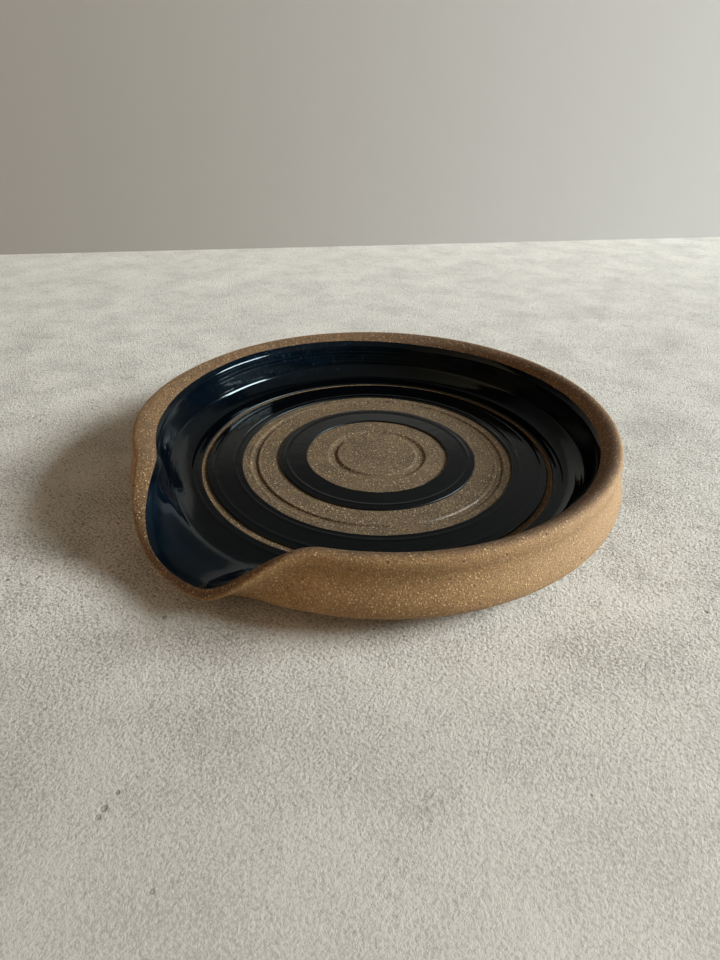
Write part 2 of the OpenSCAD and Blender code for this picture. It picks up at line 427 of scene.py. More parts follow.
        stretches = [
            top,
            mix(top[:, -1:], wall_foot, shares(wall_steps)),
            drawn_curve(u, wall_foot, cove_top, slope_top),
            mix(slope_top, slope_foot, u),
            drawn_curve(u, slope_foot, cove_foot, flat_top),
            mix(flat_top, ring, shares(flat_steps)),
        ]
        return np.concatenate(stretches, 1)


def depth(places: Array) -> Array:
    """Distance run along each profile from its first point."""
    steps = np.linalg.norm(np.diff(places, axis=1), axis=-1)
    return np.concatenate([np.zeros((len(places), 1)), np.cumsum(steps, 1)], 1)


def unit(directions: Array) -> Array:
    """Directions brought to length 1, with those of no length left at zero."""
    return directions / np.maximum(np.linalg.norm(directions, axis=-1, keepdims=True), 1e-9)


def beside(places: Array) -> Array:
    """Direction out of the clay along a face that runs down and inward: its run turned a quarter."""
    run = np.gradient(places, axis=1)
    return unit(np.stack([run[..., 1], -run[..., 0]], -1))


def drawn_curve(u: Array, *stops: Array) -> Array:
    """Curve drawn from the first stop to the last: neighbours are blended by u until one place is left."""
    while len(stops) > 1:
        stops = [mix(low, high, u) for low, high in zip(stops, stops[1:])]
    return stops[0]


def spin(profile: Array, angles: Array) -> Array:
    """Places (r, z) at angle a turned into (r sin a, -r cos a, z), so that angle 0 is the spout's middle."""
    turn = np.radians(angles)[:, None]
    r, z = profile[..., 0], profile[..., 1]
    return np.stack([r * np.sin(turn), -r * np.cos(turn), z], -1)


def linked(name: str, data: ID) -> Object:
    """New object of some data, linked to the scene."""
    made = bpy.data.objects.new(name, data)
    bpy.context.scene.collection.objects.link(made)
    return made


def ring_grid_object(name: str, rings: Array, profile: Profile, masks: Masks, crease: float) -> Object:
    """Makes a mesh of quads from a closed turn of profiles.

    A loop joins its last point to its first. An open profile ends in poles, where a row is one vertex.

    Args:
        name: Name of the object and its mesh.
        rings: Points in millimetres, shape (angles, points, 3).
        profile: What each profile is.
        masks: Values per point that the materials read, each of shape (angles, points).
        crease: Angle in degrees past which an edge is shown sharp.

    Returns:
        The new object, at the origin, linked to the scene.
    """
    turns, steps = rings.shape[:2]
    index = np.arange(turns * steps).reshape(turns, steps)
    keep = np.ones(turns * steps, bool)
    loop = profile is Profile.LOOP
    if not loop:
        for pole in (0, steps - 1):
            keep[index[1:, pole]] = False
            index[:, pole] = index[0, pole]
    index = (np.cumsum(keep) - 1)[index]
    a = index if loop else index[:, :-1]
    b = np.roll(index, -1, 1) if loop else index[:, 1:]
    c, d = np.roll(b, -1, 0), np.roll(a, -1, 0)
    order = (a, b, c, d) if loop else (a, d, c, b)
    quads = np.stack([side.ravel() for side in order], -1)
    solid = quads != np.roll(quads, -1, 1)
    counts = solid.sum(1)
    loops = quads[solid]
    mesh = bpy.data.meshes.new(name)
    mesh.vertices.add(int(keep.sum()))
    mesh.vertices.foreach_set("co", (rings.reshape(-1, 3)[keep] * MM).astype(np.float32).ravel())
    mesh.loops.add(len(loops))
    mesh.loops.foreach_set("vertex_index", loops.astype(np.int32))
    mesh.polygons.add(len(counts))
    starts = np.concatenate([[0], np.cumsum(counts)[:-1]])
    mesh.polygons.foreach_set("loop_start", starts.astype(np.int32))
    mesh.update(calc_edges=True)
    mesh.shade_smooth()
    mesh.set_sharp_from_angle(angle=math.radians(crease))
    for mask, values in masks.items():
        store = mesh.attributes.new(mask, "FLOAT", "POINT")
        store.data.foreach_set("value", values.reshape(-1)[keep].astype(np.float32))
    mesh.validate()
    return linked(name, mesh)


def linear(red: int, green: int, blue: int) -> Colour:
    """Scene-linear colour of an 8-bit display colour."""
    channels = [c / 255.0 for c in (red, green, blue)]
    values = [c / 12.92 if c <= 0.04045 else ((c + 0.055) / 1.055) ** 2.4 for c in channels]
    return values[0], values[1], values[2], 1.0


@dataclass(frozen=True)
class Ramp:
    """Smooth step of a value from low to high, put out from first to last."""

    low: float
    high: float
    first: float = 0.0
    last: float = 1.0


@dataclass(frozen=True)
class Noise:
    """Smooth noise: the size of its features in millimetres, its detail and its roughness."""

    size: float
    detail: float = 2.0
    rough: float = 0.5


@dataclass(frozen=True)
class Grains:
    """Scatter of grains: size of cells in millimetres, share of them with a grain, and its size in them.

    A grain is its size times least to least + 1 by chance, and fades inward from its border.
    """

    cell: float
    share: float
    grain: float
    least: float = 0.45
    fade: Ramp = Ramp(0.0, 0.45)


class NodeBench:
    """A short way to lay out and join shader nodes in one tree."""

    def __init__(self, tree: NodeTree) -> None:
        """Starts on a tree."""
        self.tree = tree

    @classmethod
    def on(cls, owner: Material | World) -> "NodeBench":
        """Bench on the tree of a material or a world, with the tree emptied."""
        owner.use_nodes = True
        owner.node_tree.nodes.clear()
        return cls(owner.node_tree)

    def add(self, kind: str, inputs: dict | None = None, **settings: object) -> Node:
        """Adds a node.

        Args:
            kind: Blender's name of the node type, after ShaderNode.
            inputs: Value or socket for each input, by name or number.
            settings: Properties of the node.

        Returns:
            The new node.
        """
        node = self.tree.nodes.new("ShaderNode" + kind)
        for key, value in settings.items():
            setattr(node, key, value)
        for key, value in (inputs or {}).items():
            if isinstance(value, Socket):
                self.tree.links.new(value, node.inputs[key])
            else:
                node.inputs[key].default_value = value
        return node

    def math(self, operation: str, *values: Value) -> Socket:
        """Result of a Math node."""
        return self.add("Math", dict(enumerate(values)), operation=operation).outputs[0]

    def times(self, first: Value, second: Value) -> Socket:
        """Product of two values."""
        return self.math("MULTIPLY", first, second)

    def plus(self, base: Value, value: Value, factor: float) -> Socket:
        """Base plus a value times a factor."""
        return self.math("ADD", base, self.times(value, factor))

    def weigh(self, first: Socket, second: Socket, share: float) -> Socket:
        """First value by a share plus the second by the rest."""
        return self.plus(self.times(first, share), second, 1.0 - share)

    def along(self, place: Socket, direction: Sequence[float]) -> Socket:
        """How far a place lies along a direction, their dot product."""
        inputs = {0: place, 1: tuple(direction)}
        return self.add("VectorMath", inputs, operation="DOT_PRODUCT").outputs["Value"]

    def place(self, frame: str = "Object") -> Socket:
        """Place of the point that is shaded."""
        return self.add("TexCoord").outputs[frame]

    def mask(self, name: str) -> Socket:
        """A value per point that the mesh carries."""
        return self.add("Attribute", attribute_name=name).outputs["Fac"]

    def ramp(self, value: Socket, ramp: Ramp) -> Socket:
        """A value put through a ramp."""
        inputs = {"Value": value, "From Min": ramp.low, "From Max": ramp.high}
        inputs |= {"To Min": ramp.first, "To Max": ramp.last}
        return self.add("MapRange", inputs, interpolation_type="SMOOTHSTEP").outputs["Result"]

    def blend(self, share: Value, low: Value, high: Value) -> Socket:
        """Colour mixed from low to high by a share."""
        return self.add("Mix", {0: share, 6: low, 7: high}, data_type="RGBA").outputs[2]

    def noise(self, place: Socket, noise: Noise) -> Socket:
        """Value of a noise at a place."""
        inputs = {"Vector": place, "Scale": 1.0 / (noise.size * MM)}
        inputs |= {"Detail": noise.detail, "Roughness": noise.rough}
        return self.add("TexNoise", inputs).outputs["Fac"]

    def grains(self, place: Socket, kind: Grains) -> Socket:
        """Mask of a scatter of grains, each in a cell of a Voronoi pattern.

        Args:
            place: Place of the point that is shaded.
            kind: The scatter.

        Returns:
            The mask, 1 in the middle of a grain.
        """
        cells = self.add("TexVoronoi", {"Vector": place, "Scale": 1.0 / (kind.cell * MM)})
        chance = self.add("SeparateColor", {0: cells.outputs["Color"]}).outputs
        size = self.times(kind.grain, self.math("ADD", kind.least, chance[1]))
        inside = self.math("SUBTRACT", size, cells.outputs["Distance"])
        dot = self.ramp(self.math("DIVIDE", inside, size), kind.fade)
        return self.times(dot, self.math("LESS_THAN", chance[0], kind.share))

    def bump(self, height: Socket, strength: Value, depth_mm: float) -> Socket:
        """Normal of a surface with a relief, given how deep it is in millimetres."""
        inputs = {"Height": height, "Strength": strength, "Distance": depth_mm * MM}
        return self.add("Bump", inputs).outputs[0]

    def surface(self, colour: Socket, rough: Value, gloss: Value, others: dict) -> None:
        """Ends a material's tree with its shader.

        Args:
            colour: Colour of the surface.
            rough: Roughness.
            gloss: Strength of its reflections.
            others: Value of each further input of the shader, by name.
        """
        inputs = {"Base Color": colour, "Roughness": rough, "Specular IOR Level": gloss} | others
        shader = self.add("BsdfPrincipled", inputs)
        self.add("OutputMaterial", {0: shader.outputs[0]})


@dataclass(frozen=True)
class ClayFinish:
    """Bare stoneware: toasted outside, greyer on the floor, with dense golden grog and a few dark pits.

    Values named after the rim, a grain, a pit or the polish change the plain one of the same name there.
    The wall is painted paler on its side towards the window, as painted light, and browner at its front, as
    painted shade.
    """

    toasted: Colour = linear(176, 138, 88)
    toasted_dark: Colour = linear(128, 96, 56)
    # Painted light: paler colour for the wall's side towards the window.
    painted_lit_colour: Colour = linear(203, 169, 134)
    # Painted shade: browner colour for the wall's front.
    painted_shade_colour: Colour = linear(110, 82, 30)
    grey: Colour = linear(119, 97, 66)
    grey_dark: Colour = linear(54, 43, 29)
    rim: Colour = linear(110, 80, 45)
    rim_dark: Colour = linear(63, 43, 24)
    grain: Colour = linear(234, 202, 148)
    pale_grain: Colour = linear(208, 186, 142)
    iron: Colour = linear(60, 44, 29)
    big: Grains = Grains(0.85, 0.38, 0.25)
    small: Grains = Grains(0.44, 0.55, 0.38)
    pits: Grains = Grains(1.7, 0.3, 0.15)
    cloud: Noise = Noise(7.0, 4.0, 0.6)
    fine: Noise = Noise(0.42, 4.0, 0.75)
    cloud_share: float = 0.16
    tone: Ramp = Ramp(0.41, 0.59)
    painted_lit_side: float = 0.35
    painted_front_shade: float = 0.3
    rim_share: float = 0.9
    small_share: float = 0.7
    pit_share: float = 0.7
    veil: float = 0.74
    rim_veil: float = 0.24
    rough: float = 0.72
    grain_rough: float = 0.2
    polish_rough: float = 0.6
    gloss: float = 0.5
    polish_gloss: float = 0.5
    grain_h: float = 0.5
    pit_h: float = 0.7
    relief: float = 0.85
    polish_relief: float = 0.8
    relief_mm: float = 0.48

    def material(self) -> Material:
        """Builds the material, which reads the masks floor, rim, burnish, flash and scorch of the mesh.

        The flash mask carries painted light towards the window, and the scorch mask painted shade at the
        front.

        Returns:
            The material.
        """
        made = bpy.data.materials.new("bare_clay_speckled")
        bench = NodeBench.on(made)
        place = bench.place()
        floor, rim, polish = (bench.mask(name) for name in ("floor", "rim", "burnish"))
        fine = bench.noise(place, self.fine)
        tone = bench.ramp(bench.weigh(bench.noise(place, self.cloud), fine, self.cloud_share), self.tone)
        outside = bench.blend(tone, self.toasted_dark, self.toasted)
        # Painted light: the wall's side towards the window is painted paler.
        outside = bench.blend(bench.times(bench.mask("painted_lit_side"), self.painted_lit_side), outside, self.painted_lit_colour)
        # Painted shade: the wall's front is painted browner.
        outside = bench.blend(bench.times(bench.mask("painted_front_shade"), self.painted_front_shade), outside, self.painted_shade_colour)
        colour = bench.blend(floor, outside, bench.blend(tone, self.grey_dark, self.grey))
        edge = bench.blend(tone, self.rim_dark, self.rim)
        colour = bench.blend(bench.times(rim, self.rim_share), colour, edge)
        big, small, pits = (bench.grains(place, kind) for kind in (self.big, self.small, self.pits))
        light = bench.math("MAXIMUM", big, bench.times(small, self.small_share))
        speck = bench.blend(floor, self.grain, self.pale_grain)
        colour = bench.blend(bench.times(light, bench.plus(self.veil, rim, -self.rim_veil)), colour, speck)
        colour = bench.blend(bench.times(pits, self.pit_share), colour, self.iron)
        rough = bench.plus(bench.plus(self.rough, light, -self.grain_rough), polish, -self.polish_rough)
        gloss = bench.plus(self.gloss, polish, self.polish_gloss)
        height = bench.plus(bench.plus(fine, light, self.grain_h), pits, -self.pit_h)
        strength = bench.plus(self.relief, polish, -self.polish_relief)
        bench.surface(colour, rough, gloss, {"Normal": bench.bump(height, strength, self.relief_mm)})
        return made


@dataclass(frozen=True)
class GlazeFinish:
    """Glossy glaze, near black where it is thick and navy with paler flecks where it runs thin.

    It is rougher at a border and reflects less in the shade. Its navy and paler flecks are painted
    stronger on the side of the wall that faces the window, as painted light.
    """

    deep: Colour = linear(1, 2, 4)
    navy: Colour = linear(6, 18, 28)
    sheen: Colour = (0.78, 0.97, 1.0, 1.0)
    # Paler flecks, painted only on the side of the wall facing the window, as painted light.
    lit_side_fleck: Colour = linear(44, 78, 102)
    cloud: Noise = Noise(5.0, 3.0, 0.6)
    cloud_thin: Ramp = Ramp(0.3, 0.7, 0.45, 1.0)
    streak: Noise = Noise(1.3, 4.0, 0.65)
    streak_fleck: Ramp = Ramp(0.56, 0.74)
    fleck_share: float = 0.4
    wave: Noise = Noise(3.2, 1.0)
    ripple: Noise = Noise(0.8, 2.0)
    ripple_share: float = 0.14
    relief: float = 0.3
    relief_mm: float = 0.1
    smear: Noise = Noise(12.0, 3.0)
    rough: Ramp = Ramp(0.3, 0.7, 0.06, 0.12)
    border_rough: float = 0.4
    gloss: float = 0.32
    shade_gloss: float = 0.16

    def material(self) -> Material:
        """Builds the material, which reads the masks thin, edge, border and shade of the mesh.

        Thin and edge also carry painted light: stronger navy and flecks on the side facing the window.

        Returns:
            The material.
        """
        made = bpy.data.materials.new("dark_glaze_gloss")
        bench = NodeBench.on(made)
        place = bench.place()
        # Navy of thin glaze, which the mesh paints stronger on the side facing the window, as painted light.
        thin = bench.times(bench.mask("thin"), bench.ramp(bench.noise(place, self.cloud), self.cloud_thin))
        colour = bench.blend(thin, self.deep, self.navy)
        streak = bench.ramp(bench.noise(place, self.streak), self.streak_fleck)
        # Painted light: paler flecks only where the edge mask marks thin glaze on the side facing the window.
        lit_side_fleck = bench.times(bench.mask("edge"), bench.times(streak, self.fleck_share))
        colour = bench.blend(lit_side_fleck, colour, self.lit_side_fleck)
        wave = bench.plus(bench.noise(place, self.wave), bench.noise(place, self.ripple), self.ripple_share)
        rough = bench.ramp(bench.noise(place, self.smear), self.rough)
        rough = bench.plus(rough, bench.mask("border"), self.border_rough)
        gloss = bench.plus(self.gloss, bench.mask("shade"), -self.shade_gloss)
        normal = bench.bump(wave, self.relief, self.relief_mm)
        bench.surface(colour, rough, gloss, {"Normal": normal, "Specular Tint": self.sheen})
        return made


@dataclass(frozen=True)
class GlazeEdge:
    """Rounded border of a glaze, an ellipse as wide as this from the border inward, in millimetres."""

    width: float = 0.2

    def height(self, distance: Array) -> Array:
        """Share of full thickness sqrt(1 - (1 - x)^2), with x the distance from the border over the width."""
        return np.sqrt(1.0 - (1.0 - step(distance, (0.0, self.width))) ** 2)


@dataclass(frozen=True)
class GlazeFeather(GlazeEdge):
    """Border where the glaze has run down and thins out slowly over this width, in millimetres."""

    width: float = 1.9

    def height(self, distance: Array) -> Array:
        """Share of full thickness x^2 (3 - 2x), with x the distance from the border over the width."""
        x = step(distance, (0.0, self.width))
        return x * x * (3.0 - 2.0 * x)


@dataclass(frozen=True)
class StonewareBody:
    """The thrown clay: foot, heel, belly, rim, bare rings and the grooves turned into them.

    Humps run over the angle, but those of the burrs over half widths of their groove.

    Attributes:
        painted_lit_side: Side of the wall facing the window, painted paler as painted light.
        painted_front_shade: Front of the wall, painted browner as painted shade.
        burnish: Polished stroke beside the broad ring's groove, and stroke the same across its radius.
        steep: Depth of a groove's inner side over half its width.
        slip: How far the grooves are off centre, in millimetres, and towards which angle, in radians.
        calm: Radii between which the floor's relief grows from nothing.
        lap: How far the close rows of bare clay go on under a glaze, where one of under_rows follows.
        rim_fade: What the rim's colour grows with over the rim, put through the smooth step.
    """

    form: DishForm
    turns: int = 420
    painted_lit_side: Hump = Hump(95.0, 60.0)
    painted_front_shade: Hump = Hump(40.0, 24.0)
    burnish: Hump = Hump(75.0, 24.0)
    stroke: Hump = Hump(-0.81, 0.2)
    burrs: tuple[Hump, ...] = (Hump(-1.25, 0.45, 0.09), Hump(1.25, 0.5, 0.054))
    steep: float = 3.4
    slip: tuple[float, float] = (0.22, 0.8)
    lines: tuple[TurningLines, ...] = (TurningLines(0.012, 5.1), TurningLines(0.01, 8.3, 2.0))
    line_sway: float = 0.8
    calm: Span = (0.0, 0.6)
    lap: float = 0.4
    groove_reach: float = 1.4
    under_rows: tuple[float, float] = (41.0, 23.0)
    foot_row: float = 8.0
    foot_inset: float = 0.6
    foot_rim: float = 1.0
    foot_rise: float = 0.04
    rim_fade: Span = (-0.225, 1.5)
    crease: float = 50.0
    rim_wobble: Wobble = Wobble(0.14, (2, 3, 5, 7), 4)
    sway_share: float = 0.5
    sway_r: float = 50.0
    sway_h: Span = (3.0, 18.0)

    def groove(self, radius: Array, size: Triple) -> Array:
        """Height of a turned groove with burrs.

        With x the distance from its middle in half widths, it is low by 1 - |x|^3 of its depth outside the
        middle and by steep (x + 1) inside it, held to 0..1.

        Args:
            radius: Radii in millimetres.
            size: Radius, width and depth of the groove.

        Returns:
            The height at each radius, in millimetres.
        """
        middle, width, low = size
        x = (radius - middle) / (width / 2)
        bowl = np.where(x > 0.0, 1.0 - np.abs(x) ** 3, np.minimum((x + 1.0) * self.steep, 1.0))
        return sum(burr.at(x) for burr in self.burrs) - low * np.clip(bowl, 0.0, None)

    def floor_rows(self) -> Array:
        """Radii of the floor's rows from the thin ring inward: close on bare clay, single under glaze."""
        form, groove_r = self.form, self.form.broad_groove[0]
        near, far = groove_r + self.groove_reach, groove_r - self.groove_reach
        spans = (
            (form.thin_ring[1], form.thin_ring[0] - self.lap, 6),
            (form.broad_ring[1] + self.lap, near, 9),
            (near, far, 36),
            (far, form.broad_ring[0] - self.lap, 24),
            (form.disc_r + self.lap, 0.0, 64),
        )
        rows = [np.linspace(*span) for span in spans]
        return np.unique(np.concatenate([*rows, self.under_rows]))[-2::-1]

    def floor_profile(self, angles: Array) -> Pair:
        """Floor from the thin ring to the middle, with grooves a little off centre and faint turning lines.

        Args:
            angles: Angles in degrees.

        Returns:
            Radius and height of each point, and the burnish mask.
        """
        radii = self.floor_rows()
        r = np.broadcast_to(radii, (len(angles), len(radii)))
        turn = np.radians(angles)[:, None]
        slip = self.slip[0] * np.cos(turn - self.slip[1])
        broad_r = r - 0.5 * slip
        z = self.groove(r + slip, self.form.disc_groove) + self.groove(broad_r, self.form.broad_groove)
        z = z + self.lines[0].at(r, self.line_sway * np.cos(turn)) + self.lines[1].at(r)
        z = z * step(r, self.calm)
        burnish = self.stroke.at(broad_r - self.form.broad_groove[0]) * self.burnish.at(angles)[:, None]
        return np.stack([r, self.form.floor_t + z], -1), burnish

    def build(self) -> Object:
        """Makes the clay's mesh, closed from the middle of the foot round to the middle of the floor."""
        angles = whole_turn(self.turns)
        foot_r = np.concatenate([[0.0], np.linspace(self.foot_row, self.form.foot_r - self.foot_inset, 7)])
        foot_z = np.where(foot_r < self.form.foot_r - self.foot_rim, self.foot_rise, 0.0)
        under = np.broadcast_to(np.stack([foot_r, foot_z], -1), (self.turns, len(foot_r), 2))
        outer = self.form.outer(angles, heel_steps=10, flank_steps=18)
        rim = self.form.rim(angles, steps=24)
        inner = self.form.inner(angles, self.form.thin_ring[1], steps=(4, 4, 6, 3))[:, 1:]
        floor, burnish = self.floor_profile(angles)
        profile = np.concatenate([under, outer, rim, inner, floor], 1)
        even = np.zeros(profile.shape[:2])
        outside, top, inside = under.shape[1] + outer.shape[1], rim.shape[1], inner.shape[1]
        over = smooth(np.linspace(*self.rim_fade, top))
        rim_row = np.concatenate([np.zeros(outside), over, np.ones(inside), np.zeros(floor.shape[1])])
        before = ((0, 0), (outside + top + inside, 0))
        masks = {
            "floor": np.pad(np.ones_like(burnish), before),
            "rim": even + rim_row,
            "burnish": np.pad(burnish, before),
            # Painted light: paler side of the wall towards the window.
            "painted_lit_side": even + self.painted_lit_side.at(angles)[:, None],
            # Painted shade: darker front of the wall.
            "painted_front_shade": even + self.painted_front_shade.at(angles)[:, None],
        }
        places = spin(self.uneven(profile, angles), angles)
        return ring_grid_object("stoneware_pot", places, Profile.OPEN, masks, self.crease)

    def uneven(self, profile: Array, angles: Array) -> Array:
        """Lets the wall's radius sway inwards a little with the potter's hand, more towards the rim."""
        share = step(profile[..., 1], self.sway_h) * (profile[..., 0] > self.sway_r)
        sway = (self.rim_wobble.at(angles) - self.rim_wobble.height)[:, None] * share
        moved = profile.copy()
        moved[..., 0] += self.sway_share * sway
        return moved


@dataclass(frozen=True, kw_only=True)
class GlazeCoat:
    """What all coats of glaze have in common.

    Attributes:
        sunk: How far the seat is sunk into the clay, in millimetres.
        dull_w: Width of the dull border beside a bare ring, in millimetres.
    """

    form: DishForm
    thickness: float = 0.45
    sunk: float = 0.06
    dull_w: float = 0.3
    edge: GlazeEdge = GlazeEdge()
    crease: float = 80.0

    def shell(self, name: str, angles: Array, bed: Pair, height: Array, left: Array, masks: Masks) -> Object:
        """Makes a glaze's closed shell, from a seat sunk into the clay to a face above it.

        Args:
            name: Name of the object.
            angles: Angles in degrees.
            bed: Places on the clay, as a profile that runs inward at each angle, and directions out of it.
            height: Height of the face over each place.
            left: Distance from each place to the next bare ring.
            masks: Value per place of each mask that isn't zero, apart from the border's.

        Returns:
            The new object.
        """
        places, away = bed
        seat, face = places - away * self.sunk, places + away * height[..., None]
        given = masks | {"border": 1.0 - step(left, (0.0, self.dull_w))}
        halves = {mask: given.get(mask, np.zeros(left.shape)) for mask in GLAZE_MASKS}
        both = {mask: np.concatenate([values, values[:, ::-1]], 1) for mask, values in halves.items()}
        rings = spin(np.concatenate([seat, face[:, ::-1]], 1), angles)
        return ring_grid_object(name, rings, Profile.LOOP, both, self.crease)


@dataclass(frozen=True)
class GlazedWall(GlazeCoat):
    """Glaze on the wall, the cove and the spout, down to the thin bare ring.

    Attributes:
        climbs: Humps, over the angle, by which the glaze line climbs over the rim's bevel or stays below it.
        lit: Side of the wall that faces the window, where the glaze is thin and strong throwing lines stand
            out,
        at lit_depth. Its navy and flecks are painted stronger there, as painted light.
        ridge: Ridge beside the thin ring, over the distance from it.
        sill: Distance from the ring, height, rise and fall of the low sill across the spout's mouth.
        thin_h: Heights between which the glaze thins up the wall, as over mouth_r in the spout.
    """

    body: StonewareBody
    climbs: tuple[Hump, ...] = (Hump(255.0, 58.0, 1.2), Hump(335.0, 9.0, 0.6), Hump(345.0, 7.0, -0.4))
    least_bare: float = 0.02
    slide_w: float = 4.0
    lit: Hump = Hump(250.0, 60.0)
    lit_depth: Hump = Hump(4.0, 3.5)
    swaying: TurningLines = TurningLines(0.005, 4.2)
    plain: TurningLines = TurningLines(0.003, 7.9, 1.0)
    strong: TurningLines = TurningLines(0.024, 5.3, 1.4)
    ridge: Hump = Hump(2.1, 0.75, 0.08)
    ends: Span = (0.0, 1.5)
    sill: tuple[float, float, float, float] = (7.6, 0.3, 2.2, 4.4)
    sill_reach: Hump = Hump(-17.0, 34.0)
    thin_h: Span = (5.1, 11.1)
    shade_h: Span = (6.0, 9.0)
    mouth_r: Span = (52.0, 60.0)
    mouth_thin: float = 0.55
    # Share of the thin glaze's navy kept away from the window's side and the spout: painted shade.
    unlit_side_navy: float = 0.25
    rim_lap: int = 3
    rim_steps: int = 24
    steps: tuple[int, int, int, int] = (8, 20, 22, 18)
    top_edge: GlazeEdge = GlazeFeather()
    line_wobble: Wobble = Wobble(0.2, (3, 5, 8, 13, 21, 34), 11)

    def bed(self, angles: Array) -> Pair:
        """Face that the glaze lies on, from its line down to the ring.

        It starts a little up the rim's bevel, and each point slides down by start (1 - s / w), with s its
        depth, w the slide's width and start what the glaze leaves bare.

        Args:
            angles: Angles in degrees.

        Returns:
            Places on the clay and the directions out of it.
        """
        lap = self.form.rim(angles, self.rim_steps)[:, -1 - self.rim_lap : -1]
        inner = self.form.inner(angles, self.form.thin_ring[1], self.steps)
        face = np.concatenate([lap, inner], 1)
        both = np.concatenate([face, beside(face)], -1)
        down = depth(face)
        climb = sum(hump.at(angles) for hump in self.climbs)
        start = down[:, self.rim_lap] - climb + self.line_wobble.at(angles)
        start = np.clip(start, self.least_bare, None)[:, None]
        at = down + start * (1.0 - step(down, (0.0, self.slide_w)))
        rows = ([np.interp(a, d, row) for row in b.T] for a, d, b in zip(at, down, both))
        slid = np.stack([np.stack(row, -1) for row in rows])
        return slid[..., :2], unit(slid[..., 2:])

    def sill_height(self, left: Array, angles: Array) -> Array:
        """Height of the sill: a smooth rise and a longer smooth fall, as wide as its hump over the angle."""
        place, height, climb, fall = self.sill
        rise = smooth((left - place) / climb) * (1.0 - smooth((left - place - climb) / fall))
        return height * rise * self.sill_reach.at(off_middle(angles))[:, None]

    def build(self) -> Object:
        """Makes the glaze's closed shell, with edges, ridges and faint rings on its face."""
        angles = whole_turn(self.body.turns)
        clay, away = self.bed(angles)
        clay = self.body.uneven(clay, angles)
        radius, level = clay[..., 0], clay[..., 1]
        down = depth(clay)
        left = down[:, -1:] - down
        laid, lit = self.form.laid(angles)[:, None], self.lit.at(angles)[:, None]
        lies = smooth(laid * 2.0)
        stands = 1.0 - lies
        lines = self.swaying.at(down, np.cos(np.radians(angles * 2))[:, None]) + self.plain.at(down)
        lines = lines + lit * self.strong.at(down) * self.lit_depth.at(down)
        relief = lines * stands + self.ridge.at(left) + self.sill_height(left, angles) * lies
        inside = step(left, self.ends) * step(down, self.ends)
        height = self.thickness * self.top_edge.height(down) * self.edge.height(left) + relief * inside
        thin = np.maximum(step(level, self.thin_h), self.mouth_thin * laid * step(radius, self.mouth_r))
        # Painted light and shade: the navy stays whole on the side facing the window and in the spout, and is
        # cut elsewhere.
        thin = thin * mix(self.unlit_side_navy, 1.0, np.maximum(lit, lies))
        shade = step(level, self.shade_h) * (1.0 - lit) * stands
        # The edge mask limits the paler flecks to the side facing the window, as painted light.
        masks = {"thin": thin, "edge": thin * lit * stands, "shade": shade}
        return self.shell("glazed_wall_and_spout", angles, (clay, away), height, left, masks)


@dataclass(frozen=True)
class GlazedRing(GlazeCoat):
    """A flat ring of glaze on the floor, between two bare rings.

    Attributes:
        ridge: Reach and height of each ridge.
        row_w: Distance of the rows, which are closer within border_w of a border.
    """

    name: str
    inner_r: float
    outer_r: float
    ridges: tuple[float, ...]
    ridge: tuple[float, float] = (0.65, 0.07)
    turns: int = 640
    row_w: float = 0.22
    border_w: float = 1.2
    line: TurningLines = TurningLines(0.003, 6.3)
    inner_wobble: Wobble = Wobble(0.16, (3, 7, 12, 19, 31), 21)
    outer_wobble: Wobble = Wobble(0.16, (4, 6, 11, 17, 29), 23)

    def build(self) -> Object:
        """Makes the ring's closed shell, its borders wavy and its face crossed by low ridges."""
        angles = whole_turn(self.turns)
        low = (self.inner_r + self.inner_wobble.at(angles))[:, None]
        high = (self.outer_r + self.outer_wobble.at(angles))[:, None]
        wide = self.outer_r - self.inner_r
        close = (1.0 - np.cos(np.linspace(0.0, np.pi / 2, 8))) * self.border_w / wide
        even = np.linspace(0.0, 1.0, int(wide / self.row_w))
        u = np.unique(np.concatenate([close, even, 1.0 - close]).round(5))
        r = mix(low, high, u[None, ::-1])
        inside = step(r - low, (0.0, self.border_w)) * step(high - r, (0.0, self.border_w))
        relief = sum(Hump(place, *self.ridge).at(r) for place in self.ridges)
        relief = relief + self.line.at(r, np.cos(np.radians(angles))[:, None])
        rise = self.edge.height(r - low) * self.edge.height(high - r)
        bed = np.stack([r, np.full_like(r, self.form.floor_t)], -1), np.array([0.0, 1.0])
        height = self.thickness * rise + relief * inside
        return self.shell(self.name, angles, bed, height, np.minimum(r - low, high - r), {})


